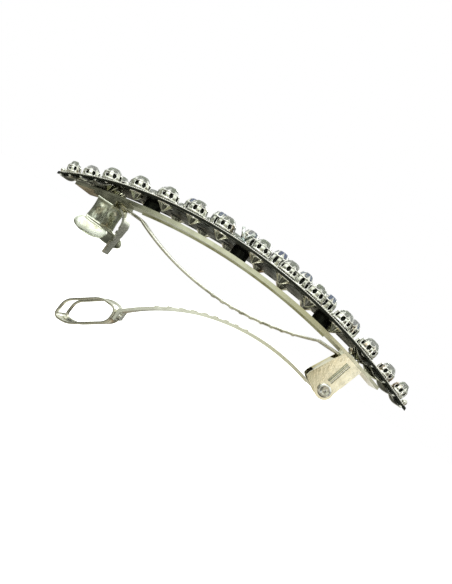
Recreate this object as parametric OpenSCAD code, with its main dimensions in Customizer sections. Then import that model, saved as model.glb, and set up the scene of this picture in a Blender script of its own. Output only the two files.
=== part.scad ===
// Rhinestone barrette: a sprung hair clip under a pointed-oval rhinestone ornament.
// Frame: +X runs from the catch to the hinge, +Y to the far long edge, +Z from the head outwards.
// Origin: middle of the hair space, just above the two points of the ornament.

/* [Ornament] */
// Length of the ornament from point to point
ornament_len = 91; // [78:0.5:105]
// Width of the ornament at its middle
ornament_w = 19; // [17:0.5:22]
// Radius of the ornament's lengthwise curve
ornament_r = 127; // [117:5:207]
// Height of the ornament plate's top above the origin, at its middle
plate_top = 7.2; // [7:0.1:8]
// Thickness of the ornament plate
plate_t = 0.6; // [0.5:0.1:0.9]
// Margin from the ornament's edge to a cup's outer side
edge_margin = 0.15; // [0:0.05:0.5]

/* [Settings and stones] */
// Outer diameter of a cup in the edge rows
edge_cup_d = 4.4; // [3.6:0.1:4.6]
// Height of a cup in the edge rows
edge_cup_h = 2.0; // [1.6:0.1:2.4]
// Outer diameter of a cup in the middle row
mid_cup_d = 4.2; // [3.4:0.1:4.4]
// Height of a cup in the middle row
mid_cup_h = 3.3; // [2.6:0.1:3.6]
// Distance between cups along a row
cup_pitch = 6.6; // [6.2:0.1:7]
// Wall of a cup
cup_wall = 0.4; // [0.3:0.05:0.6]
// Height of a stone's crown above its cup
crown_h = 0.9; // [0.6:0.1:1.2]
// Depth of the point under an edge cup
point_h = 1.5; // [1:0.1:2]

/* [Base bar] */
// Length of the base bar
bar_len = 76; // [70:1:82]
// Width of the base bar
bar_w = 8; // [7:0.5:9]
// Radius of the base bar's curve
bar_r = 130; // [115:5:150]
// Height of the base bar's top above the origin, at its middle
bar_top = 4.7; // [4.4:0.1:5.3]
// Thickness of the base bar's sheet
bar_t = 0.6; // [0.5:0.1:0.8]
// Depth of the base bar's side flanges, sheet included
flange_h = 0.9; // [0.8:0.1:2]

/* [Hinge] */
// Distance of the hinge pin from the middle
pin_x = 29.8; // [28.8:0.2:30.4]
// Depth of the hinge pin below the origin
pin_drop = 7.5; // [6.9:0.1:8]
// Diameter of the hinge pin
pin_d = 1.6; // [1.2:0.1:1.8]
// Outer diameter of the arm's barrel
barrel_d = 2.9; // [2.6:0.1:3.2]
// Thickness of the bracket sheet
bracket_t = 0.6; // [0.5:0.05:0.7]
// Radial running clearance on the hinge pin
pin_clear = 0.05; // [0.02:0.01:0.08]

/* [Clasp arm] */
// Width of the clasp arm's strip
arm_w = 5; // [4:0.25:5.5]
// Thickness of the clasp arm's strip
arm_t = 0.65; // [0.5:0.05:0.75]
// Radius of the clasp arm's bow
arm_r = 42.8; // [39:0.1:45]
// Width of the loop at the arm's end
loop_w = 6; // [5.8:0.1:6.6]
// Width of each rail beside the loop's window
rail_w = 0.8; // [0.7:0.05:1]

/* [Bow spring] */
// Width of the bow spring
bow_w = 4; // [3:0.25:4.5]
// Thickness of the bow spring
bow_t = 0.55; // [0.45:0.05:0.65]
// Sag of the bow spring at its middle
bow_sag = 4.6; // [4.3:0.1:5.3]

/* [Catch] */
// Distance of the catch from the middle
catch_x = 30; // [29.5:0.25:31]
// Length of each release tab
tab_len = 6; // [5.4:0.1:6.4]
// Width of a release tab's stem
tab_w = 3.8; // [3.2:0.1:4.2]
// Length of a thumb pad
pad_len = 7.6; // [6.5:0.1:8.5]
// Height of a thumb pad
pad_h = 4.4; // [3.6:0.1:5]
// Width of the catch hook where it leaves the bracket
hook_w = 3.9; // [3:0.1:4.2]

/* [Hidden] */

$fn = 48;
touch = 0.02;                 // gap left between pieces that touch
half_len = ornament_len / 2;
half_w = ornament_w / 2;
side_r = (half_len * half_len + half_w * half_w) / (2 * half_w);
big = 200;

// Settings: steps to each side of the open claws in the middle
first_step = 0.65 * cup_pitch;
pitch_growth = 0.09;
edge_count = 5;
mid_count = 4;
point_cups_d = [0.91 * edge_cup_d, 0.73 * edge_cup_d];
bead_d = 1.2;
window_w = 0.6;
seat_h = 0.6;
stone_seat = 0.7;

// Height of an arc's top over x, for a radius and a height at the middle
function arc_z(x, r, top) = top - (r - sqrt(r * r - x * x));
function arc_tilt(x, r) = asin(x / r);
function plate_z(x) = arc_z(x, ornament_r, plate_top);
function bar_z(x) = arc_z(x, bar_r, bar_top);
function outline_y(x) = sqrt(side_r * side_r - x * x) - (side_r - half_w);

// Places of the k-th cup of an edge row, of the middle row and of the row at each point
function edge_x(k) = first_step + cup_pitch * k + pitch_growth * k * k;
function edge_y(k) = outline_y(edge_x(k)) - edge_cup_d / 2 - edge_margin;
function mid_x(k) = first_step + cup_pitch * (k + 0.5);
function mid_d(k) = mid_cup_d - 0.12 * k;
function mid_h(k) = mid_cup_h - 0.25 * k;
function point_x(k) = half_len - 7.5 + 4.1 * k;
bead_x = half_len - 1.1;

// Hinge and catch frames: their feet lie along the bar's underside
ear_top_half = 2.4;
catch_foot_out = 3.4;           // the foot's reach past its rivet, outwards and inwards
catch_foot_in = 3;
function seat_gap(half) = touch + half * half / (2 * bar_r);   // a flat foot under a curved bar
hinge_gap = seat_gap(ear_top_half);
catch_gap = seat_gap(catch_foot_out);
hinge_x = pin_x + 1.6;
hinge_tilt = arc_tilt(hinge_x, bar_r);
hinge_z = bar_z(hinge_x) - bar_t / cos(hinge_tilt) - hinge_gap;
catch_tilt = -arc_tilt(catch_x, bar_r);
catch_z = bar_z(catch_x) - bar_t / cos(catch_tilt) - catch_gap;
foot_t = bracket_t;
ear_gap = bar_w / 2 - bracket_t - 0.1;   // inner half distance between the hinge ears
pin_z = -pin_drop;
pin_hole_r = pin_d / 2 + touch / 2;
barrel_hole_r = pin_d / 2 + pin_clear;
ear_r = 1.9;

// Height of the underside of each bracket's foot at x
function hinge_foot_z(x) = hinge_z - foot_t / cos(hinge_tilt) - (x - hinge_x) * tan(hinge_tilt);
function catch_foot_z(x) = catch_z - foot_t / cos(catch_tilt) - (x + catch_x) * tan(catch_tilt);

// Extrudes a drawing made in X and Z from y0 to y1
module side_view(y0, y1) {
    translate([0, y1, 0]) rotate([90, 0, 0]) linear_extrude(y1 - y0) children();
}

// Drawing of a curved strip, convex side up, from x0 to x1
module arch(r, top, t, x0, x1) {
    intersection() {
        difference() {
            translate([0, top - r]) circle(r, $fn = 180);
            translate([0, top - r]) circle(r - t, $fn = 180);
        }
        translate([x0, top - r / 2]) square([x1 - x0, r]);
    }
}

// Stands its children on the ornament plate at x, y
module on_plate(x, y) {
    translate([x, y, plate_z(x)]) rotate([0, arc_tilt(x, ornament_r), 0]) children();
}

module pointed_oval() {
    intersection() {
        translate([0, side_r - half_w]) circle(side_r, $fn = 240);
        translate([0, half_w - side_r]) circle(side_r, $fn = 240);
    }
}

// Both ends of the ornament, for what repeats to each side
module each_end() {
    for (side = [-1, 1]) mirror([side < 0 ? 1 : 0, 0, 0]) children();
}

module plate_holes() {
    each_end() {
        for (k = [0 : mid_count - 1]) for (s = [-1, 1]) {
            translate([edge_x(k), s * edge_y(k) * 0.36]) circle(1.1 - 0.15 * k);
            translate([mid_x(k), s * (outline_y(mid_x(k)) - 1.75)]) circle(0.85 - 0.08 * k);
        }
    }
}

module ornament_plate() {
    color([0.62, 0.64, 0.6])
    intersection() {
        side_view(-big / 2, big / 2)
            arch(ornament_r, plate_top, plate_t, -half_len, half_len);
        translate([0, 0, -big / 2]) linear_extrude(big) difference() {
            pointed_oval();
            plate_holes();
        }
    }
}

// A cup with eight claws between its windows; its floor stands on the plate
module cup(d, h) {
    difference() {
        translate([0, 0, touch]) cylinder(d = d, h = h - touch);
        translate([0, 0, seat_h]) cylinder(d = d - 2 * cup_wall, h = h);
        for (a = [0 : 45 : 135]) rotate([0, 0, a + 22.5])
            translate([-d, -window_w / 2, h * 0.34]) cube([2 * d, window_w, h * 0.46]);
    }
}

// A faceted stone that fills the top of its cup and stands above it
module stone(d, h) {
    r = d / 2 - cup_wall - touch;
    translate([0, 0, h - stone_seat]) cylinder(r = r, h = stone_seat, $fn = 8);
    translate([0, 0, h]) cylinder(r1 = r, r2 = r * 0.58, h = crown_h, $fn = 8);
}

// The point that hangs under an edge cup, below the plate
module cup_point(d) {
    translate([0, 0, -plate_t - touch - point_h])
        cylinder(r1 = 0.12, r2 = d * 0.36, h = point_h);
}

module along_edge(side) {
    each_end() for (k = [0 : edge_count - 1]) on_plate(edge_x(k), side * edge_y(k)) children();
}
module edge_cups(side) { color([0.78, 0.79, 0.74]) along_edge(side) cup(edge_cup_d, edge_cup_h); }
module edge_stones(side) { color([0.9, 0.92, 0.84]) along_edge(side) stone(edge_cup_d, edge_cup_h); }
module edge_points(side) { color([0.78, 0.79, 0.74]) along_edge(side) cup_point(edge_cup_d); }

module near_row_cups() { edge_cups(-1); }
module far_row_cups() { edge_cups(1); }
module near_row_stones() { edge_stones(-1); }
module far_row_stones() { edge_stones(1); }
module near_edge_points() { edge_points(-1); }
module far_edge_points() { edge_points(1); }

module middle_row_cups() {
    color([0.74, 0.76, 0.72]) {
        on_plate(0, 0) cup(mid_cup_d, mid_cup_h);
        each_end() for (k = [0 : mid_count - 1]) on_plate(mid_x(k), 0) cup(mid_d(k), mid_h(k));
    }
}

module middle_row_stones() {
    color([0.62, 0.72, 0.86]) {
        on_plate(0, 0) stone(mid_cup_d, mid_cup_h);
        each_end() for (k = [0 : mid_count - 1]) on_plate(mid_x(k), 0) stone(mid_d(k), mid_h(k));
    }
}

// Two cups on the centre line at each point of the ornament
point_cup_h = 0.9 * edge_cup_h;
module point_cups() {
    color([0.78, 0.79, 0.74]) each_end() for (k = [0, 1])
        on_plate(point_x(k), 0) cup(point_cups_d[k], point_cup_h);
}

module point_stones() {
    color([0.9, 0.92, 0.84]) each_end() for (k = [0, 1])
        on_plate(point_x(k), 0) stone(point_cups_d[k], point_cup_h);
}

module end_beads() {
    color([0.8, 0.8, 0.76]) each_end() on_plate(bead_x, 0) difference() {
        translate([0, 0, bead_d * 0.3]) sphere(d = bead_d);
        translate([-bead_d, -bead_d, -2 * bead_d + touch]) cube(2 * bead_d);
    }
}

// A setting whose two leaves stand open, with no stone in it
module open_claw(side) {
    color([0.55, 0.62, 0.64]) on_plate(0, side * (half_w - 1.9)) {
        translate([0, 0, touch]) cylinder(d = 2.4, h = 0.5);
        for (lean = [-1, 1]) translate([lean * 0.35, 0, 0.3]) rotate([0, lean * 24, 0])
            rotate([90, 0, 0]) translate([0, 0, -0.8]) linear_extrude(1.6)
                polygon([[-0.3, 0], [0.3, 0], [0.45, 1.5], [0.1, 2.8], [-0.3, 1.5]]);
    }
}

module near_open_claw() { open_claw(-1); }
module far_open_claw() { open_claw(1); }

// A solder post between the bar and the ornament plate
module standoff(x) {
    color([0.5, 0.5, 0.46]) difference() {
        translate([x, 0, bar_z(x) - 3]) cylinder(d = 4, h = 10);
        side_view(-big / 2, big / 2) translate([0, plate_top - ornament_r]) difference() {
            circle(big, $fn = 240);
            circle(ornament_r - plate_t - touch, $fn = 240);
        }
        side_view(-big / 2, big / 2) translate([0, bar_top - bar_r]) circle(bar_r + touch, $fn = 240);
    }
}

standoff_x = 22;
module left_standoff() { standoff(-standoff_x); }
module middle_standoff() { standoff(0); }
module right_standoff() { standoff(standoff_x); }

// The sprung base: a curved channel with its flanges cut short of the brackets
flange_end = min(catch_x, hinge_x) - 5.4;
flange_t = 0.5;
rivet_d = 2;
rivet_head_d = 3.2;
rivet_head_t = 0.4;
module base_bar() {
    color([0.66, 0.66, 0.58]) {
        difference() {
            side_view(-bar_w / 2, bar_w / 2)
                arch(bar_r, bar_top, bar_t, -bar_len / 2, bar_len / 2);
            hinge_frame() rivet_hole();
            catch_frame() rivet_hole();
        }
        for (s = [-1, 1]) translate([0, s * (bar_w - flange_t) / 2, 0])
            side_view(-flange_t / 2, flange_t / 2)
                arch(bar_r, bar_top, flange_h, -flange_end, flange_end);
    }
}

module hinge_frame() { translate([hinge_x, 0, hinge_z]) rotate([0, hinge_tilt, 0]) children(); }
module catch_frame() { translate([-catch_x, 0, catch_z]) rotate([0, catch_tilt, 0]) children(); }
module rivet_hole() { translate([0, 0, -3]) cylinder(d = rivet_d + 2 * touch, h = 6); }

// A head over the bar and a shank that ends flush, grip below the bar's underside
module rivet(grip, gap) {
    top = bar_t + gap + touch;
    color([0.7, 0.7, 0.64]) {
        translate([0, 0, -grip]) cylinder(d = rivet_d, h = grip + top + 0.1);
        translate([0, 0, top]) cylinder(d = rivet_head_d, h = rivet_head_t);
    }
}
module hinge_rivet() { hinge_frame() rivet(foot_t, hinge_gap); }
module catch_rivet() { catch_frame() rivet(foot_t + hook_t + touch, catch_gap); }

// The hinge bracket: a foot under the bar, two ears and a web between their front edges
module ear_drawing() {
    difference() {
        union() {
            ear_plate();
            translate([pin_x, pin_z]) circle(ear_r);
        }
        translate([pin_x, pin_z]) circle(pin_hole_r);
    }
}

// The ear's top follows the foot and its lower edge runs to the boss round the pin
across = [cos(hinge_tilt), -sin(hinge_tilt)];
ear_front_top = [hinge_x, hinge_z] - across * ear_top_half;
ear_front_low = [pin_x - 4.4, pin_z + 0.5];
module ear_plate() {
    polygon([ear_front_top, ear_front_top + across * 2 * ear_top_half,
        [pin_x + ear_r, pin_z + 0.3], [pin_x, pin_z - ear_r], ear_front_low + [0.7, -0.6],
        ear_front_low, ear_front_low + [0.15, 0.9]]);
}

// The web leaves room for the bow spring above it and the arm below it
web_t = 0.5;
web_top = ear_front_top + 0.25 * (ear_front_low - ear_front_top);
web_low = ear_front_top + 0.78 * (ear_front_low - ear_front_top);
module hinge_bracket() {
    color([0.72, 0.68, 0.52]) {
        hinge_frame() difference() {
            translate([-ear_top_half, -ear_gap - bracket_t, -foot_t])
                cube([2 * ear_top_half, 2 * (ear_gap + bracket_t), foot_t]);
            rivet_hole();
        }
        side_view(-ear_gap - 0.1, ear_gap + 0.1)
            polygon([web_top, web_top + [web_t, 0], web_low + [web_t, 0], web_low]);
        for (s = [-1, 1]) translate([0, s * (ear_gap + bracket_t / 2), 0]) {
            side_view(-bracket_t / 2, bracket_t / 2) ear_drawing();
            hinge_frame() translate([-0.2, s * bracket_t * 0.3, -6]) cylinder(r = 0.6, h = 5);
        }
    }
}

head_d = 2.6;
head_t = 0.5;
module hinge_pin() {
    reach = ear_gap + bracket_t + touch;
    color([0.8, 0.8, 0.76]) translate([pin_x, 0, pin_z]) rotate([90, 0, 0]) {
        translate([0, 0, -reach - head_t / 2]) cylinder(d = pin_d, h = 2 * reach + head_t);
        for (s = [-1, 1]) translate([0, 0, s * (reach + head_t / 2) - head_t / 2])
            cylinder(d = head_d, h = head_t);
    }
}

// Clasp arm: a bowed strip that ends in a barrel on the pin, with a heel past it
arm_mid_x = 15.5;
arm_top = -6.35;
arm_end_x = -14.1;
arm_root_x = 26.2;
heel_x = pin_x + 2.6;
tab_drop = 2.6;
ridge_pitch = 2.3;
ridge_r = 0.34;
function arm_z(x) = arm_top - (arm_r - sqrt(arm_r * arm_r - pow(x - arm_mid_x, 2)));
module clasp_arm() {
    color([0.74, 0.74, 0.66]) {
        difference() {
            side_view(-arm_w / 2, arm_w / 2) union() {
                translate([arm_mid_x, 0])
                    arch(arm_r, arm_top, arm_t, arm_end_x - arm_mid_x, arm_root_x - arm_mid_x);
                polygon([[arm_root_x - 0.4, arm_z(arm_root_x - 0.4) - 0.08],
                    [pin_x, pin_z - barrel_d / 2 + arm_t], [pin_x, pin_z - barrel_d / 2 + 0.03],
                    [arm_root_x - 0.4, arm_z(arm_root_x - 0.4) - arm_t + 0.08]]);
                translate([pin_x, pin_z]) circle(d = barrel_d);
                polygon([[pin_x + 0.2, pin_z + barrel_d / 2 - 0.5],
                    [heel_x - 0.5, bow_tongue_z(heel_x) - 0.1], [heel_x, bow_tongue_z(heel_x) - 0.2],
                    [pin_x + barrel_d / 2 - 0.2, pin_z + 0.5]]);
                translate([arm_end_x - 0.3, arm_z(arm_end_x) - tab_drop])
                    square([arm_t, tab_drop + 0.05]);
            }
            loop_rivet_hole();
            translate([pin_x, 0, pin_z]) rotate([90, 0, 0])
                cylinder(r = barrel_hole_r, h = 2 * arm_w, center = true);
        }
        for (k = [0 : 8]) translate([arm_mid_x - 5 - k * ridge_pitch, 0,
                arm_z(arm_mid_x - 5 - k * ridge_pitch) - 0.1])
            rotate([90, 0, 0]) cylinder(r = ridge_r, h = arm_w, center = true, $fn = 24);
    }
}

// The hexagonal loop, from its joint with the arm round to the joint again
loop_t = 0.45;
loop_joint = [arm_end_x - 0.3 - touch, arm_z(arm_end_x) - 0.2];
loop_corners = [for (step = [[0, 0], [0, -3.6], [-7.3, -9], [-11.2, -9.3], [-10.9, -4.9], [-4, 0.3]])
    loop_joint + step];

// The corner where the two walls beside a corner meet, each moved inwards by inset
function turn_left(v) = [-v[1], v[0]] / norm(v);
function inset_corner(i, inset) =
    let (n = len(loop_corners), p = loop_corners[i],
        before = turn_left(loop_corners[(i + n - 1) % n] - p),
        after = -turn_left(loop_corners[(i + 1) % n] - p))
    p + inset * (before + after) / (1 + before * after);
module loop_outline(inset) {
    polygon([for (i = [0 : len(loop_corners) - 1]) inset_corner(i, inset)]);
}
loop_rivet_z = loop_joint[1] - 1.5;
loop_rivet_d = 1;
loop_rivet_head_d = 1.7;
loop_rivet_head_t = 0.3;
module loop_rivet_hole() {
    translate([loop_joint[0], 0, loop_rivet_z]) rotate([0, 90, 0])
        cylinder(d = loop_rivet_d + 2 * touch, h = 3, center = true);
}

module clasp_loop() {
    low = loop_corners[3];
    color([0.76, 0.76, 0.68]) difference() {
        side_view(-loop_w / 2, loop_w / 2) difference() {
            loop_outline(0);
            loop_outline(loop_t);
        }
        loop_rivet_hole();
        translate([low[0] - 2, -loop_w / 2 + rail_w, low[1] + 0.75])
            cube([8.2, loop_w - 2 * rail_w, 10]);
        for (s = [-1, 1]) translate([loop_joint[0], s * (loop_w / 2 + 1.4), loop_joint[1]])
            cube([5, 4, 20], center = true);
    }
}

// Rivet that holds the loop to the arm's end
module loop_rivet() {
    color([0.8, 0.8, 0.76]) translate([loop_joint[0], 0, loop_rivet_z]) rotate([0, 90, 0]) {
        translate([0, 0, -loop_t - 0.1]) cylinder(d = loop_rivet_d, h = loop_t + arm_t + 0.2);
        translate([0, 0, -loop_t - touch - loop_rivet_head_t])
            cylinder(d = loop_rivet_head_d, h = loop_rivet_head_t);
        translate([0, 0, arm_t + 2 * touch]) cylinder(d = loop_rivet_head_d, h = loop_rivet_head_t);
    }
}

// Bow spring: a strip that sags between two flat tongues under the bar
bow_mid_x = 1;
bow_half = 23;
bow_end_z = 0;
bow_r = (bow_half * bow_half + bow_sag * bow_sag) / (2 * bow_sag);
bow_left = -catch_x + 2.6;
bow_bend = hinge_x - 3;
bow_right = hinge_x + 2;

// Height of the right tongue's underside at x: flat to the bend, then along the foot
function bow_tongue_z(x) = x < bow_bend ? bow_end_z - 0.1
    : min(bow_end_z - 0.1, hinge_foot_z(bow_bend) - bow_t - touch) - (x - bow_bend) * tan(hinge_tilt);
module bow_spring() {
    low = bow_end_z - bow_sag;
    lift = [0, bow_t];
    left_end = [[bow_mid_x - bow_half + 0.3, bow_end_z - 0.1],
        [bow_left, catch_foot_z(bow_left) - bow_t - touch]];
    right_end = [for (x = [bow_mid_x + bow_half - 0.3, bow_bend, bow_right]) [x, bow_tongue_z(x)]];
    color([0.7, 0.7, 0.64]) {
        side_view(-bow_w / 2, bow_w / 2) {
            translate([bow_mid_x, 0]) mirror([0, 1]) arch(bow_r, -low, bow_t, -bow_half, bow_half);
            polygon([left_end[0], left_end[0] + lift, left_end[1] + lift, left_end[1]]);
            polygon(concat(right_end, [for (i = [2 : -1 : 0]) right_end[i] + lift]));
        }
        for (k = [0 : 8]) let (x = 0.5 + k * ridge_pitch)
            translate([x, 0, -arc_z(x - bow_mid_x, bow_r, -low) + 0.1])
                rotate([90, 0, 0]) cylinder(r = ridge_r, h = bow_w, center = true, $fn = 24);
    }
}

// Catch bracket: a foot under the bar with a short lug down to each release tab
tab_t = 0.5;
tab_y = bar_w / 2 - tab_t / 2;
lug_h = 0.5;
lug_half = tab_w / 2 + 0.3;
root_z = catch_z - foot_t - lug_h;
module catch_bracket() {
    color([0.7, 0.68, 0.54]) {
        catch_frame() difference() {
            translate([-catch_foot_out, -bar_w / 2, -foot_t])
                cube([catch_foot_out + catch_foot_in, bar_w, foot_t]);
            rivet_hole();
        }
        for (s = [-1, 1]) translate([0, s * tab_y, 0]) side_view(-tab_t / 2, tab_t / 2)
            polygon([[-catch_x - lug_half, root_z], [-catch_x + lug_half, root_z],
                [-catch_x + lug_half, catch_foot_z(-catch_x + lug_half) + foot_t / 2],
                [-catch_x - lug_half, catch_foot_z(-catch_x - lug_half) + foot_t / 2]]);
    }
}

// Hook that the loop's window drops over: it curves down towards the hair
hook_t = 0.5;
hook_bend_r = 3.4;
hook_x = -catch_x + 2.1;
hook_top = catch_z - foot_t - 0.15;    // the hook's shoulder, clear of the bow spring's tongue
hook_len = 6.9;
module catch_hook() {
    root_near = [-0.5, catch_foot_z(hook_x - 0.5) - touch - hook_top];
    root_far = [-4.6, catch_foot_z(hook_x - 4.6) - touch - hook_top];
    color([0.76, 0.78, 0.7]) difference() {
        union() {
            translate([hook_x, 0, hook_top - hook_bend_r]) intersection() {
                side_view(-hook_w / 2, hook_w / 2) difference() {
                    circle(hook_bend_r);
                    circle(hook_bend_r - hook_t);
                }
                translate([0, -hook_w, 0]) cube([2 * hook_bend_r, 2 * hook_w, 2 * hook_bend_r]);
            }
            translate([hook_x, 0, hook_top]) {
                side_view(-hook_w / 2, hook_w / 2) polygon([
                    [hook_bend_r - hook_t + 0.05, -hook_bend_r + 0.3],
                    [hook_bend_r - 0.05, -hook_bend_r + 0.3],
                    [hook_bend_r - 0.3, -hook_bend_r - hook_len],
                    [hook_bend_r - 0.9, -hook_bend_r - hook_len]]);
                side_view(-hook_w / 2, hook_w / 2)
                    polygon([[0.4, -0.08], [0.4, -hook_t + 0.03],
                        root_far - [0, hook_t], root_far, root_near]);
            }
        }
        catch_frame() rivet_hole();
        // The blade narrows towards its tip
        for (s = [-1, 1])
            translate([hook_x + hook_bend_r, s * (hook_w / 2 + 1.2), hook_top - hook_bend_r - 2.9])
            rotate([-s * 6, 0, 0]) cube([4, 3, 9], center = true);
        for (k = [0 : 2]) translate([hook_x + hook_bend_r, -hook_w / 2 + 0.1 + 0.2 * k,
                hook_top - hook_bend_r - 0.9 - 1.3 * k]) cube([3, 0.9, 0.5], center = true);
    }
}

// A release tab: a stem with a pressed boss and an oval thumb pad that flares outwards
pad_t = 0.7;
pad_flare = 38;
module release_tab(s) {
    color([0.82, 0.84, 0.78]) translate([-catch_x, s * tab_y, root_z - tab_t / 2 - touch]) {
        rotate([0, 90, 0]) cylinder(d = tab_t, h = tab_w, center = true, $fn = 24);
        translate([-tab_w / 2, -tab_t / 2, -tab_len + 1]) cube([tab_w, tab_t, tab_len - 1]);
        translate([0, s * 0.1, -1.5]) rotate([90, 0, 0]) cylinder(d = 1.9, h = 0.9, center = true);
        translate([1.1, 0, -tab_len + 1.2]) rotate([s * pad_flare, 0, 0]) oval_pad(s);
    }
}

module oval_pad(s) {
    ends = (pad_len - pad_h) / 2;
    translate([0, 0, -pad_h / 2 + 0.5]) rotate([90, 0, 0]) {
        for (e = [-1, 1]) translate([e * ends, 0, 0]) cylinder(d = pad_h, h = pad_t, center = true);
        cube([2 * ends, pad_h, pad_t], center = true);
    }
}
module near_release_tab() { release_tab(-1); }
module far_release_tab() { release_tab(1); }

ornament_plate();
near_row_cups();
far_row_cups();
middle_row_cups();
point_cups();
near_row_stones();
far_row_stones();
middle_row_stones();
point_stones();
end_beads();
near_edge_points();
far_edge_points();
near_open_claw();
far_open_claw();
left_standoff();
middle_standoff();
right_standoff();
base_bar();
hinge_bracket();
hinge_rivet();
hinge_pin();
clasp_arm();
clasp_loop();
loop_rivet();
bow_spring();
catch_bracket();
catch_rivet();
catch_hook();
near_release_tab();
far_release_tab();
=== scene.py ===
"""Rhinestone hair clip: the looks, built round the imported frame, in metres."""
import math

import bmesh
import bpy
from mathutils import Matrix, Vector


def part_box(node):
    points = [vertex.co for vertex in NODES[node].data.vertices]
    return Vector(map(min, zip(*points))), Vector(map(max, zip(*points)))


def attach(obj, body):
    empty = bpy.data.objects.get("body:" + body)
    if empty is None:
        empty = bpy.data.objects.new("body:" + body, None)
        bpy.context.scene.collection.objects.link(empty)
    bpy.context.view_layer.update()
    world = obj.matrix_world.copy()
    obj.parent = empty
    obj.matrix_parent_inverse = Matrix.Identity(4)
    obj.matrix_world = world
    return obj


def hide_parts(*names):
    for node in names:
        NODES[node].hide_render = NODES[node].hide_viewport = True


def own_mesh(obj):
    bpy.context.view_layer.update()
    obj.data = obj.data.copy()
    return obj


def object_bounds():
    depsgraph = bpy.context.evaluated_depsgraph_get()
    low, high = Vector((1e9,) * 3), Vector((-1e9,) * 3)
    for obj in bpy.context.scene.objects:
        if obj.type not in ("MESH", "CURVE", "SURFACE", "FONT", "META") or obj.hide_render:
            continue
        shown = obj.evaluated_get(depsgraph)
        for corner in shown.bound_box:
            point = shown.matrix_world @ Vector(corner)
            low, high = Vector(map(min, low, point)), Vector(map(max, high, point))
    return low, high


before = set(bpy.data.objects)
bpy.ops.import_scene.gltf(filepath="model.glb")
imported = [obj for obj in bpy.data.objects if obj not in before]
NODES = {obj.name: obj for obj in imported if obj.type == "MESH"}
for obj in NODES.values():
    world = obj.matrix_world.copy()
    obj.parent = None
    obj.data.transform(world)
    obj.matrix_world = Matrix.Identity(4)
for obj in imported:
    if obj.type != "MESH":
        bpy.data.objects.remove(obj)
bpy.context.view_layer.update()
MM = 0.001

# The ornament's lengthwise curve and outline, as in the CAD model
PLATE_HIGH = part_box("ornament_plate")[1]
ARC_R = 127 * MM
ARC_CENTRE = Vector((0, 0, PLATE_HIGH.z - ARC_R))
HALF_LEN, HALF_W = PLATE_HIGH.x, PLATE_HIGH.y
SIDE_R = (HALF_LEN**2 + HALF_W**2) / (2 * HALF_W)
PLATE_T = 0.6 * MM


def plate_z(x):
    return ARC_CENTRE.z + math.sqrt(ARC_R**2 - x * x)


def outline_y(x):
    return math.sqrt(max(SIDE_R**2 - x * x, 0)) - (SIDE_R - HALF_W)


# ---------------------------------------------------------------- materials


def new_material(name):
    mat = bpy.data.materials.new(name)
    mat.use_nodes = True
    tree = mat.node_tree
    bsdf = tree.nodes["Principled BSDF"]
    coords = tree.nodes.new("ShaderNodeTexCoord")
    return mat, tree, bsdf, coords.outputs["Object"]


def noise_node(tree, vector, scale, detail=4.0, rough=0.55, stretch=None):
    if stretch:
        mapping = tree.nodes.new("ShaderNodeMapping")
        mapping.inputs["Scale"].default_value = stretch
        tree.links.new(vector, mapping.inputs["Vector"])
        vector = mapping.outputs["Vector"]
    node = tree.nodes.new("ShaderNodeTexNoise")
    node.inputs["Scale"].default_value = scale
    node.inputs["Detail"].default_value = detail
    node.inputs["Roughness"].default_value = rough
    tree.links.new(vector, node.inputs["Vector"])
    return node.outputs["Fac"]


def ramp(tree, fac, stops):
    node = tree.nodes.new("ShaderNodeValToRGB")
    elements = node.color_ramp.elements
    while len(elements) < len(stops):
        elements.new(0.5)
    for element, (at, colour) in zip(elements, stops):
        element.position = at
        element.color = (*colour, 1)
    tree.links.new(fac, node.inputs["Fac"])
    return node.outputs["Color"]


def remap(tree, fac, low, high):
    node = tree.nodes.new("ShaderNodeMapRange")
    node.inputs["From Min"].default_value = 0.3
    node.inputs["From Max"].default_value = 0.7
    node.inputs["To Min"].default_value = low
    node.inputs["To Max"].default_value = high
    tree.links.new(fac, node.inputs["Value"])
    return node.outputs["Result"]


def add_bump(tree, bsdf, height, strength, distance):
    node = tree.nodes.new("ShaderNodeBump")
    node.inputs["Strength"].default_value = strength
    node.inputs["Distance"].default_value = distance
    tree.links.new(height, node.inputs["Height"])
    tree.links.new(node.outputs["Normal"], bsdf.inputs["Normal"])


def metal(name, light, mid, dark, rough, patch_scale, grain_scale, grain, stretch=None, dark_share=0.36):
    """Plated metal: patches of darker tone (tarnish on most metals, painted reflection on the setting and
    claw metals), uneven polish, brushed or pitted grain and brighter worn edges.
    """
    mat, tree, bsdf, obj = new_material(name)
    patches = noise_node(tree, obj, patch_scale, 5, 0.6)
    colour = ramp(tree, patches, [(dark_share, dark), (dark_share + 0.1, mid), (0.62, light)])
    edge = tree.nodes.new("ShaderNodeNewGeometry").outputs["Pointiness"]
    worn = remap(tree, edge, 0, 1)
    worn.node.inputs["From Min"].default_value = 0.52
    worn.node.inputs["From Max"].default_value = 0.6
    mix = tree.nodes.new("ShaderNodeMix")
    mix.data_type = "RGBA"
    tree.links.new(worn, mix.inputs["Factor"])
    tree.links.new(colour, mix.inputs["A"])
    mix.inputs["B"].default_value = (*[min(1, c * 1.15) for c in light], 1)
    tree.links.new(mix.outputs["Result"], bsdf.inputs["Base Color"])
    bsdf.inputs["Metallic"].default_value = 1.0
    polish = noise_node(tree, obj, patch_scale * 3, 3)
    tree.links.new(remap(tree, polish, rough[0], rough[1]), bsdf.inputs["Roughness"])
    fine = noise_node(tree, obj, grain_scale, 3, 0.6, stretch)
    add_bump(tree, bsdf, fine, grain, 0.05 * MM)
    return mat


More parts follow.
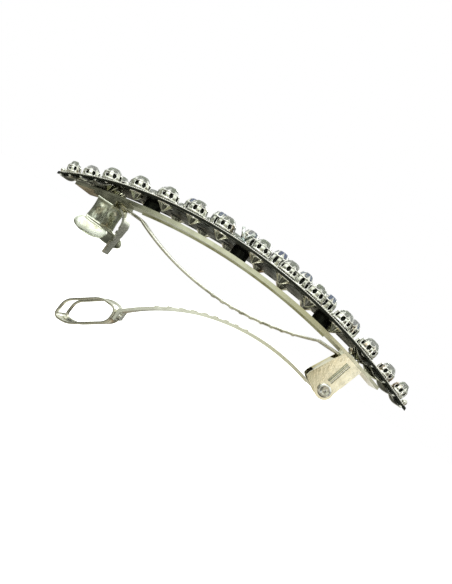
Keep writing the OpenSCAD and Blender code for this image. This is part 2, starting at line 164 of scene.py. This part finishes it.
def glass(name, tint, flash, foil):
    """Foil-backed cut glass: clear crown facets over a mirrored underside, with faint colour flashes."""
    mat, tree, bsdf, obj = new_material(name)
    cells = noise_node(tree, obj, 420, 2)
    colour = ramp(tree, cells, [(0.38, flash), (0.5, tint), (0.66, (1, 1, 1))])
    normal = tree.nodes.new("ShaderNodeNewGeometry").outputs["True Normal"]
    split = tree.nodes.new("ShaderNodeSeparateXYZ")
    tree.links.new(normal, split.inputs["Vector"])
    below = tree.nodes.new("ShaderNodeMath")
    below.operation = "LESS_THAN"
    below.inputs[1].default_value = -0.15
    tree.links.new(split.outputs["Z"], below.inputs[0])
    mix = tree.nodes.new("ShaderNodeMix")
    mix.data_type = "RGBA"
    tree.links.new(below.outputs["Value"], mix.inputs["Factor"])
    tree.links.new(colour, mix.inputs["A"])
    mix.inputs["B"].default_value = (*foil, 1)
    tree.links.new(mix.outputs["Result"], bsdf.inputs["Base Color"])
    tree.links.new(below.outputs["Value"], bsdf.inputs["Metallic"])
    bsdf.inputs["Transmission Weight"].default_value = 0.7
    bsdf.inputs["IOR"].default_value = 1.56
    scuffs = noise_node(tree, obj, 1600, 4)
    tree.links.new(remap(tree, scuffs, 0.02, 0.12), bsdf.inputs["Roughness"])
    add_bump(tree, bsdf, noise_node(tree, obj, 900, 2), 0.06, 0.05 * MM)
    return mat


LEAF = metal("leaf_metal", (0.96, 0.96, 0.92), (0.86, 0.87, 0.8), (0.5, 0.42, 0.3), (0.16, 0.34),
             240, 2400, 0.35, dark_share=0.34)
# Setting metal: its warm brown patches are painted reflection.
SETTING = metal("setting_metal", (0.92, 0.93, 0.86), (0.78, 0.79, 0.68), (0.3, 0.2, 0.12), (0.05, 0.2),
                260, 2600, 0.2)
# Claw metal: its teal-grey cast and dark teal patches are painted reflection.
CLAW_TEAL_REFLECTION = metal("claw_metal", (0.8, 0.84, 0.82), (0.5, 0.56, 0.54), (0.08, 0.12, 0.12), (0.06, 0.22),
                300, 2600, 0.2)
# Near-black metal: painted shade. The plate's underside, the standoffs and the liners inside the settings
# are coloured almost black to stand in for the shade they lie in.
SHADE_BLACK_METAL = metal("dark_backing", (0.03, 0.034, 0.028), (0.008, 0.009, 0.008), (0.003, 0.003, 0.003),
                (0.3, 0.55), 160, 1500, 0.5)
NICKEL = metal("nickel_plate", (0.7, 0.7, 0.56), (0.52, 0.5, 0.33), (0.2, 0.19, 0.1), (0.1, 0.22),
               150, 2200, 0.22, stretch=(0.25, 1, 1))
BEIGE = metal("hinge_nickel", (0.9, 0.84, 0.68), (0.72, 0.63, 0.44), (0.07, 0.1, 0.05), (0.06, 0.16),
              230, 2200, 0.2, dark_share=0.42)
SPRING = metal("spring_steel", (0.82, 0.82, 0.74), (0.62, 0.61, 0.5), (0.24, 0.23, 0.16), (0.12, 0.26),
               220, 2600, 0.3, stretch=(0.2, 1, 1))
PAD = metal("tab_steel", (0.76, 0.8, 0.7), (0.6, 0.62, 0.5), (0.3, 0.29, 0.17), (0.14, 0.3),
            300, 2300, 0.7, dark_share=0.34)
RIVET = metal("rivet_steel", (0.92, 0.92, 0.88), (0.75, 0.74, 0.66), (0.2, 0.18, 0.13), (0.06, 0.16),
              500, 2600, 0.25)
CLEAR = glass("clear_stone", (0.92, 0.96, 0.88), (0.74, 0.82, 0.66), (0.86, 0.9, 0.8))
# Middle-row stones: the blue tint and blue flashes are painted highlight, standing in for bluish glints.
BLUE_GLINT_GLASS = glass("blue_stone", (0.6, 0.72, 0.92), (0.42, 0.5, 0.85), (0.35, 0.45, 0.62))

NODE_MATERIALS = {
    # ornament plate and standoffs: near-black painted shade
    "ornament_plate": SHADE_BLACK_METAL, "left_standoff": SHADE_BLACK_METAL, "middle_standoff": SHADE_BLACK_METAL,
    "right_standoff": SHADE_BLACK_METAL, "end_beads": SETTING, "base_bar": NICKEL, "hinge_bracket": BEIGE,
    "hinge_rivet": RIVET, "hinge_pin": RIVET, "clasp_arm": SPRING, "clasp_loop": SPRING,
    "loop_rivet": RIVET, "bow_spring": SPRING, "catch_bracket": NICKEL, "catch_rivet": RIVET,
    "catch_hook": SPRING, "near_release_tab": PAD, "far_release_tab": PAD,
    "near_row_cups": SETTING, "far_row_cups": SETTING, "middle_row_cups": SETTING,
    "point_cups": SETTING, "near_row_stones": CLEAR, "far_row_stones": CLEAR,
    "middle_row_stones": BLUE_GLINT_GLASS, "point_stones": CLEAR, "near_edge_points": SETTING,
    "far_edge_points": SETTING, "near_open_claw": CLAW_TEAL_REFLECTION, "far_open_claw": CLAW_TEAL_REFLECTION,
}
for node_name, material in NODE_MATERIALS.items():
    data = NODES[node_name].data
    data.materials.clear()
    data.materials.append(material)

# ---------------------------------------------------------------- mesh helpers


def finish_piece(bm, name, body, material, replaced=(), sharp=35, solid=0.0):
    mesh = bpy.data.meshes.new(name)
    bmesh.ops.recalc_face_normals(bm, faces=bm.faces)
    bm.to_mesh(mesh)
    bm.free()
    mesh.materials.append(material)
    mesh.shade_smooth()
    mesh.set_sharp_from_angle(angle=math.radians(sharp))
    piece = bpy.data.objects.new(name, mesh)
    bpy.context.scene.collection.objects.link(piece)
    if solid:
        modifier = piece.modifiers.new("sheet", "SOLIDIFY")
        modifier.thickness = solid
        modifier.offset = -1
    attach(piece, body)
    if replaced:
        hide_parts(*replaced)
    return piece


def lathe(bm, matrix, profile, segments, skip=None, close_top=False, close_bottom=False,
          ripple=None):
    """Turns (radius, height) pairs about Z.

    skip(row, column) leaves a face out, and ripple(angle, row) scales the radius.
    """
    rings = []
    for row, (radius, height) in enumerate(profile):
        ring = []
        for i in range(segments):
            a = 2 * math.pi * i / segments
            r = radius * (ripple(a, row) if ripple else 1)
            ring.append(bm.verts.new(matrix @ Vector((r * math.cos(a), r * math.sin(a), height))))
        rings.append(ring)
    for row in range(len(rings) - 1):
        for i in range(segments):
            if skip and skip(row, i):
                continue
            j = (i + 1) % segments
            bm.faces.new((rings[row][i], rings[row][j], rings[row + 1][j], rings[row + 1][i]))
    if close_top:
        bm.faces.new(rings[-1])
    if close_bottom:
        bm.faces.new(list(reversed(rings[0])))


def sweep(bm, points, section, closed=False, up=Vector((0, 0, 1))):
    """Sweeps a closed section of (side, height) pairs along a line of points.

    section may also be a function that gives the section at the k-th point.
    """
    rings = []
    count = len(points)
    for k, point in enumerate(points):
        before = points[k - 1] if (k or closed) else point
        after = points[(k + 1) % count] if (k < count - 1 or closed) else point
        along = (after - before).normalized()
        side = along.cross(up).normalized()
        top = side.cross(along)
        shape = section(k) if callable(section) else section
        rings.append([bm.verts.new(point + side * u + top * v) for u, v in shape])
    sides = len(rings[0])
    for k in range(count if closed else count - 1):
        a, b = rings[k], rings[(k + 1) % count]
        for i in range(sides):
            j = (i + 1) % sides
            bm.faces.new((a[i], a[j], b[j], b[i]))
    if not closed:
        bm.faces.new(list(reversed(rings[0])))
        bm.faces.new(rings[-1])


def rounded_strip(width, thick, corner):
    """Section of a flat strip with rounded edges."""
    out = []
    for cu, cv, start in ((1, 1, 0), (-1, 1, 90), (-1, -1, 180), (1, -1, 270)):
        for step in (0, 45, 90):
            a = math.radians(start + step)
            out.append((cu * (width / 2 - corner) + corner * math.cos(a),
                        cv * (thick / 2 - corner) + corner * math.sin(a)))
    return out


def seats(node_name):
    """Each separate solid of a node that stands on the ornament: its matrix, radius and height there."""
    mesh = NODES[node_name].data
    places = {}
    parent = []

    def find(i):
        while parent[i] != i:
            parent[i] = parent[parent[i]]
            i = parent[i]
        return i

    index = []
    for v in mesh.vertices:
        key = tuple(round(c / MM, 3) for c in v.co)
        if key not in places:
            places[key] = len(parent)
            parent.append(len(parent))
        index.append(places[key])
    for face in mesh.polygons:
        first = find(index[face.vertices[0]])
        for other in face.vertices[1:]:
            parent[find(index[other])] = first
    groups = {}
    for key, i in places.items():
        groups.setdefault(find(i), []).append(Vector(key) * MM)
    out = []
    for points in groups.values():
        if len(points) < 12:
            continue
        middle = (Vector(map(min, zip(*points))) + Vector(map(max, zip(*points)))) / 2
        lean = math.atan2(middle.x, middle.z - ARC_CENTRE.z)
        turn = Matrix.Rotation(lean, 4, "Y")
        local = [turn.inverted() @ (p - ARC_CENTRE) for p in points]
        low, high = Vector(map(min, zip(*local))), Vector(map(max, zip(*local)))
        centre = (low + high) / 2
        matrix = Matrix.Translation(ARC_CENTRE) @ turn @ Matrix.Translation((centre.x, centre.y, low.z))
        out.append((matrix, (high.y - low.y) / 2, high.z - low.z))
    return sorted(out, key=lambda s: (round(s[0].translation.x, 5), s[0].translation.y))


# ---------------------------------------------------------------- settings and stones

PRONGS = 8
PER_PRONG = 12
COLUMNS = PER_PRONG * PRONGS
WINDOW = 6
SETTING_PROFILE = (
    (0.7, 0.0), (0.93, 0.03), (1.0, 0.1), (1.02, 0.2), (0.98, 0.28), (0.97, 0.34), (1.0, 0.42),
    (1.0, 0.52), (0.99, 0.64), (0.97, 0.76), (0.93, 0.84), (0.95, 0.9), (0.93, 0.97), (0.86, 1.06),
    (0.77, 1.17), (0.66, 1.3))
WINDOW_ROWS = (5, 9)
COLLAR_END = 12
SETTING_T = 0.22 * MM
CROWN_H = 1.1 * MM
GIRDLE_DROP = 0.9 * MM
CULET_DEPTH = 0.62 * MM


def is_open(row, column):
    """True in the windows round a setting and between its claws, which taper upwards."""
    place = column % PER_PRONG
    if WINDOW_ROWS[0] <= row < WINDOW_ROWS[1] + 1:
        narrow = 1 if row in (WINDOW_ROWS[0], WINDOW_ROWS[1]) else 0
        return narrow <= place < WINDOW - narrow
    if row >= COLLAR_END:
        grow = row - COLLAR_END
        return place < WINDOW + grow or place >= PER_PRONG - grow
    return False


def settings(name, source):
    """A pierced, clawed setting on each cup of a row, and a liner inside it, near-black as painted shade."""
    bm = bmesh.new()
    shade_liner = bmesh.new()
    for k, (matrix, radius, height) in enumerate(seats(source)):
        spin = Matrix.Rotation(math.radians(22.5 + 7 * math.sin(k * 2.4)), 4, "Z")
        profile = [(radius * r, height * z) for r, z in SETTING_PROFILE]
        lathe(bm, matrix @ spin, profile, COLUMNS, skip=is_open, close_bottom=True)
        # The liner is painted shade: a near-black lining that stands for the shade inside the cup.
        inner = [(radius * 0.74, 0.06 * height), (radius * 0.8, height * 0.3), (radius * 0.8, height * 0.7),
                 (radius * 0.5, height * 0.78)]
        lathe(shade_liner, matrix, inner, 24, close_bottom=True, close_top=True)
    finish_piece(bm, name, "root", SETTING, (source,), sharp=50, solid=SETTING_T)
    finish_piece(shade_liner, name + "_liner", "root", SHADE_BLACK_METAL)


def brilliant(bm, matrix, radius, crown, depth):
    """An eight-fold brilliant cut: table, stars, kites, girdle facets and a pointed underside."""
    def ring(count, r, z, offset):
        step = 2 * math.pi / count
        angles = [step * (i + offset) for i in range(count)]
        return [bm.verts.new(matrix @ Vector((r * math.cos(a), r * math.sin(a), z))) for a in angles]

    table = ring(8, 0.55 * radius, crown, 0)
    mid = ring(8, 0.8 * radius, 0.6 * crown, 0.5)
    girdle = ring(16, radius, 0.06 * crown, 0)
    low = ring(16, radius, 0, 0)
    culet = bm.verts.new(matrix @ Vector((0, 0, -depth)))
    bm.faces.new(table)
    for i in range(8):
        j = (i + 1) % 8
        bm.faces.new((table[j], table[i], mid[i]))
        bm.faces.new((table[i], mid[i - 1], girdle[2 * i], mid[i]))
        bm.faces.new((mid[i], girdle[2 * i], girdle[2 * i + 1]))
        bm.faces.new((mid[i], girdle[2 * i + 1], girdle[(2 * i + 2) % 16]))
    for i in range(16):
        j = (i + 1) % 16
        bm.faces.new((girdle[i], low[i], low[j], girdle[j]))
        bm.faces.new((low[i], culet, low[j]))


def stones(name, source, material):
    bm = bmesh.new()
    for k, (matrix, radius, height) in enumerate(seats(source)):
        place = matrix @ Matrix.Translation((0, 0, height - GIRDLE_DROP)) @ Matrix.Rotation(0.4 * k, 4, "Z")
        brilliant(bm, place, radius * 1.04, CROWN_H, CULET_DEPTH)
    finish_piece(bm, name, "root", material, (source,), sharp=5)


settings("near_settings", "near_row_cups")
settings("far_settings", "far_row_cups")
settings("middle_settings", "middle_row_cups")
settings("point_settings", "point_cups")
stones("near_brilliants", "near_row_stones", CLEAR)
stones("far_brilliants", "far_row_stones", CLEAR)
stones("middle_brilliants", "middle_row_stones", BLUE_GLINT_GLASS)
stones("point_brilliants", "point_stones", CLEAR)


POINT_PROFILE = ((0.04, 0.0), (0.2, 0.1), (0.44, 0.34), (0.74, 0.66), (0.96, 0.86), (1.12, 0.94),
                 (1.14, 1.0), (0.9, 1.04))


def points_below(name, source):
    """The pointed leaf under each edge cup: a lipped cone with soft facets that draws in to its tip."""
    bm = bmesh.new()
    for matrix, radius, height in seats(source):
        profile = [(radius * r, height * z) for r, z in POINT_PROFILE]
        lathe(bm, matrix, profile, 40, close_top=True, close_bottom=True,
              ripple=lambda a, row: 1 + 0.07 * math.cos(8 * a) * (row > 1))
    finish_piece(bm, name, "root", SETTING, (source,), sharp=40)


points_below("near_points", "near_edge_points")
points_below("far_points", "far_edge_points")

# ---------------------------------------------------------------- the ornament's edge


def edge_point(t, side, inset, drop):
    x = t * (HALF_LEN - 0.9 * MM)
    return Vector((x, side * (outline_y(x) - inset), plate_z(x) - drop))


def rim_line(side):
    """A fine beaded wire along one edge of the plate."""
    bm = bmesh.new()
    count = 1200
    line = [edge_point(2 * k / count - 1, side, -0.02 * MM, 0.12 * MM) for k in range(count + 1)]

    def section(k):
        r = (0.13 + 0.04 * math.cos(2 * math.pi * k / 6)) * MM
        return [(r * math.cos(a * math.pi / 4), r * math.sin(a * math.pi / 4)) for a in range(8)]

    sweep(bm, line, section)
    name = ("near" if side < 0 else "far") + "_rim_wire"
    finish_piece(bm, name, "root", SETTING, sharp=60)


rim_line(-1)
rim_line(1)


def leaf(bm, matrix, length, width, cup, thick):
    """A dished leaf with a raised middle vein and a pointed tip, along +X."""
    steps, across = 14, 8
    layers = []
    for lift in (0, -thick):
        grid = []
        for i in range(steps + 1):
            u = i / steps
            half = width / 2 * math.sin(math.pi * min(1, u * 0.96 + 0.04)) ** 0.75 * (1.15 - 0.3 * u)
            row = []
            for j in range(across + 1):
                v = 2 * j / across - 1
                z = cup * (v * v) + 0.22 * cup * math.exp(-((v / 0.16) ** 2)) - 0.5 * cup * u * u + lift
                row.append(bm.verts.new(matrix @ Vector((u * length, v * half, z))))
            grid.append(row)
        layers.append(grid)
    top, low = layers
    for i in range(steps):
        for j in range(across):
            bm.faces.new((top[i][j], top[i + 1][j], top[i + 1][j + 1], top[i][j + 1]))
            bm.faces.new((low[i][j], low[i][j + 1], low[i + 1][j + 1], low[i + 1][j]))
        for j in (0, across):
            bm.faces.new((top[i][j], low[i][j], low[i + 1][j], top[i + 1][j]))
    for i in (0, steps):
        for j in range(across):
            bm.faces.new((top[i][j], top[i][j + 1], low[i][j + 1], low[i][j]))


def tip_leaves():
    """Overlapping leaves round both points of the ornament, on the edge and just under it."""
    places_and_sizes = ((30.5, 4.6), (34.6, 4.4), (38.2, 3.9), (41.4, 3.3))
    bm = bmesh.new()
    for end in (-1, 1):
        for side in (-1, 1):
            for x, size in places_and_sizes:
                x *= MM
                place = Vector((end * x, side * (outline_y(x) - 0.7 * MM), plate_z(x) - PLATE_T - 0.25 * MM))
                lean = math.asin(end * x / ARC_R)
                matrix = (Matrix.Translation(place) @ Matrix.Rotation(lean, 4, "Y")
                          @ Matrix.Rotation(math.radians(0 if end > 0 else 180), 4, "Z")
                          @ Matrix.Rotation(math.radians(-side * end * 9), 4, "Z")
                          @ Matrix.Rotation(math.radians(-side * end * 48), 4, "X"))
                leaf(bm, matrix, size * MM, 0.52 * size * MM, 0.28 * MM, 0.22 * MM)
    finish_piece(bm, "tip_leaves", "root", LEAF, sharp=40)


tip_leaves()


def open_claws():
    """The two settings that stand open: a ring foot and a pair of curved, pointed leaves."""
    for name, source in (("near_claw_leaves", "near_open_claw"), ("far_claw_leaves", "far_open_claw")):
        bm = bmesh.new()
        matrix, _, height = seats(source)[0]
        foot = [(0.9, 0.0), (1.15, 0.1), (1.2, 0.3), (1.05, 0.45), (0.75, 0.5)]
        lathe(bm, matrix, [(r * MM, z * MM) for r, z in foot], 32, close_top=True, close_bottom=True)
        for lean in (-1, 1):
            turn = (matrix @ Matrix.Translation((lean * 0.25 * MM, 0, 0.3 * MM))
                    @ Matrix.Rotation(math.radians(lean * 24), 4, "Y")
                    @ Matrix.Rotation(math.radians(-90), 4, "Y"))
            leaf(bm, turn, height * 0.98, 1.9 * MM, 0.3 * MM * lean, 0.3 * MM)
        finish_piece(bm, name, "root", CLAW_TEAL_REFLECTION, (source,), sharp=40)


open_claws()

# ---------------------------------------------------------------- springs


def bow_strip():
    """The bow spring: a thin strip with pressed cross ridges and two flat tongues."""
    low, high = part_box("bow_spring")
    corners = [v.co for v in NODES["bow_spring"].data.vertices]
    left = max(c.z for c in corners if c.x < low.x + 0.1 * MM)
    right = max(c.z for c in corners if c.x > high.x - 0.1 * MM)
    half, end_z, sag, thick, middle = 23 * MM, 0.0, 4.6 * MM, 0.62 * MM, 1 * MM
    radius = (half**2 + sag**2) / (2 * sag)
    bend = 28.4 * MM

    def centre(x):
        start = middle - half
        if x < start:
            t = (x - start) / (low.x - start)
            return (1 - t) * (end_z + 0.1 * MM) + t * (left - thick / 2)
        if x > bend:
            t = (x - bend) / (high.x - bend)
            return (1 - t) * (end_z + 0.1 * MM) + t * (right - thick / 2)
        if x > middle + half:
            return end_z + 0.1 * MM
        return end_z - sag + radius - math.sqrt(radius**2 - (x - middle) ** 2) + 0.1 * MM

    count = 340
    xs = [low.x + (high.x - low.x) * k / count for k in range(count + 1)]
    line = [Vector((x, 0, centre(x))) for x in xs]
    width = high.y - low.y

    def section(k):
        ridge = 0
        if -0.6 * MM < xs[k] < 19.6 * MM:
            ridge = max(0, math.cos(2 * math.pi * (xs[k] / MM - 0.5) / 2.3)) ** 3
        shape = rounded_strip(width, thick * 0.9, 0.12 * MM)
        return [(u, v - (0.2 * MM * ridge if v < 0 else 0.1 * MM * ridge)) for u, v in shape]

    bm = bmesh.new()
    sweep(bm, line, section)
    piece = finish_piece(bm, "bow_strip", "root", SPRING, ("bow_spring",), sharp=40)
    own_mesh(piece)


bow_strip()


def rounded_path(corners, reach, steps=8):
    """Closed line through the corners, each rounded off within reach of it."""
    out = []
    for k, corner in enumerate(corners):
        before, after = corners[k - 1], corners[(k + 1) % len(corners)]
        a = corner + (before - corner) * min(0.42, reach / (before - corner).length)
        b = corner + (after - corner) * min(0.42, reach / (after - corner).length)
        for i in range(steps + 1):
            t = i / steps
            out.append(a * (1 - t) ** 2 + corner * 2 * t * (1 - t) + b * t * t)
    return out


def clasp_loop():
    """The loop: two side rails all the way round, joined by a plate at the arm and one at the far corner."""
    low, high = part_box("clasp_loop")
    joint = Vector((high.x - 0.25 * MM, 0, high.z - 0.35 * MM))
    offsets = ((0, 0), (0, -3.5), (-7.2, -8.75), (-10.75, -9.0), (-10.5, -4.8), (-4, 0.05))
    corners = [joint + Vector((x, 0, z)) * MM for x, z in offsets]
    path = rounded_path(corners, 1.5 * MM)
    across = Vector((0, 1, 0))
    bm = bmesh.new()
    rail, thick, half = 0.86 * MM, 0.52 * MM, (high.y - low.y) / 2
    for side in (-1, 1):
        line = [p + across * side * (half - rail / 2) for p in path]
        sweep(bm, line, rounded_strip(thick, rail, 0.14 * MM), closed=True, up=across)
    open_from = low.x + 6.3 * MM
    # The path has n points round each corner. The arm's plate covers the first two corners and what
    # lies beside them past open_from, and the far plate runs from the third corner into the fourth
    n = 9
    wall = [path[2 * n - 1].lerp(path[2 * n], t / 6) for t in range(1, 7)]
    arm_plate = [p for p in path[-n:] if p.x > open_from] + path[:2 * n]
    arm_plate += [p for p in wall if p.x > open_from]
    far_plate = path[2 * n + 4:4 * n - 2]
    for line, width in ((arm_plate, 2 * half - 1.3 * MM), (far_plate, 2 * half - rail)):
        sweep(bm, line, rounded_strip(thick * 0.9, width, 0.14 * MM), up=across)
    finish_piece(bm, "loop_strip", "arm", SPRING, ("clasp_loop",), sharp=40)


clasp_loop()


TAB_X, TAB_Y = -30 * MM, 3.75 * MM
TAB_ROLL = 0.32 * MM
STEM_HALF, STEM_DROP = 1.9 * MM, 4.7 * MM
PAD_X = TAB_X + 1.1 * MM
PAD_HALF, PAD_HIGH, PAD_FLARE = 3.8 * MM, 4.4 * MM, math.radians(38)
SHEET_T = 0.45 * MM
STEM_ROWS, TAB_ROWS, TAB_COLUMNS = 16, 44, 24


def stem_point(t, v, top, side):
    """A point of the stem, t of the way down it: a pressed boss above a dent."""
    x = TAB_X + v * STEM_HALF * (1 - 0.1 * math.sin(math.pi * t))
    z = top - t * STEM_DROP
    boss = math.exp(-((x - TAB_X) ** 2 + (z - top + 1.7 * MM) ** 2) / (0.75 * MM) ** 2)
    dent = math.exp(-((x - TAB_X) ** 2 / (0.5 * MM) ** 2 + (z - top + 3.4 * MM) ** 2 / (0.8 * MM) ** 2))
    return Vector((x, side * (TAB_Y + 0.34 * MM * boss - 0.24 * MM * dent), z))


def pad_point(t, v, top, side):
    """A point of the oval pad, t of the way down it: dished, with a raised lip."""
    wide = PAD_HALF * max(0.1, 1 - abs(2 * t - 1) ** 2.6) ** 0.5
    blend = min(1, t / 0.2)
    blend = blend * blend * (3 - 2 * blend)
    half = STEM_HALF * (1 - blend) + wide * blend
    x = TAB_X * (1 - blend) + PAD_X * blend + v * half
    reach = t * PAD_HIGH
    relief = -0.3 * MM * (1 - v * v) * math.sin(math.pi * t) + 0.22 * MM * max(abs(v), abs(2 * t - 1)) ** 8
    angle = PAD_FLARE * min(1, t * 5)
    y = TAB_Y + reach * math.sin(angle) + relief * math.cos(angle)
    z = top - STEM_DROP - reach * math.cos(angle) + relief * math.sin(angle)
    return Vector((x, side * y, z))


def release_tab(node, body, side):
    """A release tab: a rolled top edge, a pressed stem, and a dished oval pad that flares outwards."""
    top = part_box(node)[1].z - TAB_ROLL
    bm = bmesh.new()
    roll = [Vector((TAB_X - STEM_HALF + 2 * STEM_HALF * k / 6, side * TAB_Y, top)) for k in range(7)]
    turns = [a * math.pi / 6 for a in range(12)]
    sweep(bm, roll, [(TAB_ROLL * math.cos(a), TAB_ROLL * math.sin(a)) for a in turns])
    layers = []
    for inwards in (0, SHEET_T):
        grid = []
        for r in range(TAB_ROWS + 1):
            row = []
            for c in range(TAB_COLUMNS + 1):
                v = 2 * c / TAB_COLUMNS - 1
                if r <= STEM_ROWS:
                    point = stem_point(r / STEM_ROWS, v, top, side)
                else:
                    point = pad_point((r - STEM_ROWS) / (TAB_ROWS - STEM_ROWS), v, top, side)
                point.y -= side * inwards
                row.append(bm.verts.new(point))
            grid.append(row)
        layers.append(grid)
    front, back = layers
    for r in range(TAB_ROWS):
        for c in range(TAB_COLUMNS):
            bm.faces.new((front[r][c], front[r + 1][c], front[r + 1][c + 1], front[r][c + 1]))
            bm.faces.new((back[r][c], back[r][c + 1], back[r + 1][c + 1], back[r + 1][c]))
        for c in (0, TAB_COLUMNS):
            bm.faces.new((front[r][c], back[r][c], back[r + 1][c], front[r + 1][c]))
    for r in (0, TAB_ROWS):
        for c in range(TAB_COLUMNS):
            bm.faces.new((front[r][c], front[r][c + 1], back[r][c + 1], back[r][c]))
    finish_piece(bm, body + "_sheet", body, PAD, (node,), sharp=50)


release_tab("near_release_tab", "near_tab", -1)
release_tab("far_release_tab", "far_tab", 1)


def pin_heads():
    """Peened heads at both ends of the hinge pin: a rounded rim round a dimple."""
    low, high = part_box("hinge_pin")
    middle = (low + high) / 2
    radius = (high.x - low.x) / 2
    profile = ((1.0, -0.3), (1.06, -0.1), (1.02, 0.08), (0.86, 0.2), (0.66, 0.22), (0.5, 0.14),
               (0.36, 0.1), (0.18, 0.16))
    bm = bmesh.new()
    for side, y in ((-1, low.y), (1, high.y)):
        matrix = (Matrix.Translation((middle.x, y, middle.z))
                  @ Matrix.Rotation(math.radians(-90 * side), 4, "X"))
        lathe(bm, matrix, [(radius * r, z * MM) for r, z in profile], 36, close_top=True, close_bottom=True)
    finish_piece(bm, "pin_heads", "root", RIVET, sharp=50)


pin_heads()

# ---------------------------------------------------------------- stage, lights, camera


def backdrop():
    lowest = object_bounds()[0].z
    bm = bmesh.new()
    bmesh.ops.create_grid(bm, x_segments=4, y_segments=4, size=3.0)
    mesh = bpy.data.meshes.new("floor")
    bm.to_mesh(mesh)
    bm.free()
    floor = bpy.data.objects.new("floor", mesh)
    floor.location = (0, 0, lowest - 30 * MM)
    bpy.context.scene.collection.objects.link(floor)
    mat, tree, bsdf, obj = new_material("floor_paper")
    colour = ramp(tree, noise_node(tree, obj, 3), [(0.3, (0.97, 0.97, 0.97)), (0.7, (1, 1, 1))])
    tree.links.new(colour, bsdf.inputs["Base Color"])
    bsdf.inputs["Roughness"].default_value = 0.9
    bsdf.inputs["Emission Color"].default_value = (1, 1, 1, 1)
    bsdf.inputs["Emission Strength"].default_value = 1.0
    mesh.materials.append(mat)
    floor.visible_glossy = False
    floor.visible_diffuse = False
    floor.visible_transmission = False


def world_light():
    """White to the eye; in reflections, a studio with bright strips and dark gaps."""
    world = bpy.data.worlds.new("studio")
    world.use_nodes = True
    tree = world.node_tree
    coords = tree.nodes.new("ShaderNodeTexCoord").outputs["Generated"]
    split = tree.nodes.new("ShaderNodeSeparateXYZ")
    tree.links.new(coords, split.inputs["Vector"])

    def bands(axis, stops):
        spread = tree.nodes.new("ShaderNodeMapRange")
        spread.inputs["From Min"].default_value = -1
        spread.inputs["From Max"].default_value = 1
        tree.links.new(split.outputs[axis], spread.inputs["Value"])
        return ramp(tree, spread.outputs["Result"], stops)

    sides = bands("X", [
        (0.0, (0.35, 0.36, 0.3)), (0.2, (0.12, 0.12, 0.1)), (0.3, (0.02, 0.02, 0.016)),
        (0.33, (0.55, 0.57, 0.46)), (0.37, (0.86, 0.89, 0.8)), (0.46, (0.74, 0.76, 0.64)),
        (0.535, (0.5, 0.48, 0.32)), (0.556, (0.03, 0.03, 0.02)), (0.57, (0.9, 0.8, 0.6)),
        (0.6, (1.1, 1.1, 1.05)), (0.625, (0.03, 0.03, 0.02)), (0.66, (0.55, 0.56, 0.48)),
        (0.7, (0.02, 0.022, 0.02)), (1.0, (0.4, 0.4, 0.36))])
    level = bands("Z", [
        (0.34, (0, 0, 0)), (0.42, (0.8, 0.8, 0.8)), (0.5, (1, 1, 1)), (0.58, (1, 1, 1)),
        (0.61, (0, 0, 0))])
    sky = bands("Z", [
        (0.0, (0.03, 0.03, 0.025)), (0.2, (0.3, 0.3, 0.24)), (0.28, (0.75, 0.74, 0.62)),
        (0.33, (0.35, 0.25, 0.14)), (0.36, (0.02, 0.02, 0.02)), (0.6, (0.01, 0.012, 0.01)),
        (0.65, (0.8, 0.84, 0.75)), (0.72, (1.05, 1.08, 1.0)), (0.85, (1.1, 1.12, 1.06)),
        (1.0, (0.6, 0.62, 0.56))])

    def combine(kind, a, b):
        node = tree.nodes.new("ShaderNodeMix")
        node.data_type = "RGBA"
        node.blend_type = kind
        node.inputs["Factor"].default_value = 1
        tree.links.new(a, node.inputs["A"])
        tree.links.new(b, node.inputs["B"])
        return node.outputs["Result"]

    room = combine("ADD", combine("MULTIPLY", sides, level), sky)
    eye = tree.nodes.new("ShaderNodeLightPath").outputs["Is Camera Ray"]
    mix = tree.nodes.new("ShaderNodeMix")
    mix.data_type = "RGBA"
    tree.links.new(eye, mix.inputs["Factor"])
    tree.links.new(room, mix.inputs["A"])
    mix.inputs["B"].default_value = (1, 1, 1, 1)
    background = tree.nodes["Background"]
    tree.links.new(mix.outputs["Result"], background.inputs["Color"])
    bpy.context.scene.world = world


def area_light(name, place, target, size, power, colour=(1, 1, 1)):
    data = bpy.data.lights.new(name, "AREA")
    data.shape = "RECTANGLE"
    data.size, data.size_y = size
    data.energy = power
    data.color = colour
    light = bpy.data.objects.new(name, data)
    light.location = place
    light.rotation_euler = (Vector(target) - Vector(place)).to_track_quat("-Z", "Y").to_euler()
    bpy.context.scene.collection.objects.link(light)


def camera():
    yaw, pitch, roll, tilt = (math.radians(a) for a in (8.03, -1.01, 0.35, 34.2))
    right = Vector((math.cos(yaw), math.sin(yaw), 0))
    ahead = Vector((-math.sin(yaw), math.cos(yaw), 0))
    up = Vector((0, 0, 1))
    look = ahead * math.cos(pitch) - up * math.sin(pitch)
    up = up * math.cos(pitch) + ahead * math.sin(pitch)
    level_right = right * math.cos(roll) + up * math.sin(roll)
    level_up = up * math.cos(roll) - right * math.sin(roll)
    cam_right = level_right * math.cos(tilt) + level_up * math.sin(tilt)
    cam_up = level_up * math.cos(tilt) - level_right * math.sin(tilt)
    data = bpy.data.cameras.new("camera")
    data.sensor_width = 36
    data.lens = 27.06
    data.clip_start = 0.001
    cam = bpy.data.objects.new("camera", data)
    matrix = Matrix((cam_right, cam_up, -look)).transposed().to_4x4()
    matrix.translation = (15.35 * MM, -92.79 * MM, -4.06 * MM)
    cam.matrix_world = matrix
    bpy.context.scene.collection.objects.link(cam)
    bpy.context.scene.camera = cam


backdrop()
world_light()
area_light("key", (-0.15, -0.25, 0.35), (0, 0, 0), (0.35, 0.3), 0.4)
area_light("fill", (0.3, -0.25, -0.05), (0, 0, -0.01), (0.06, 0.3), 0.1)
area_light("back", (0.05, 0.3, 0.2), (0, 0, 0), (0.3, 0.1), 0.25)
bpy.context.scene.view_settings.view_transform = "Standard"
camera()
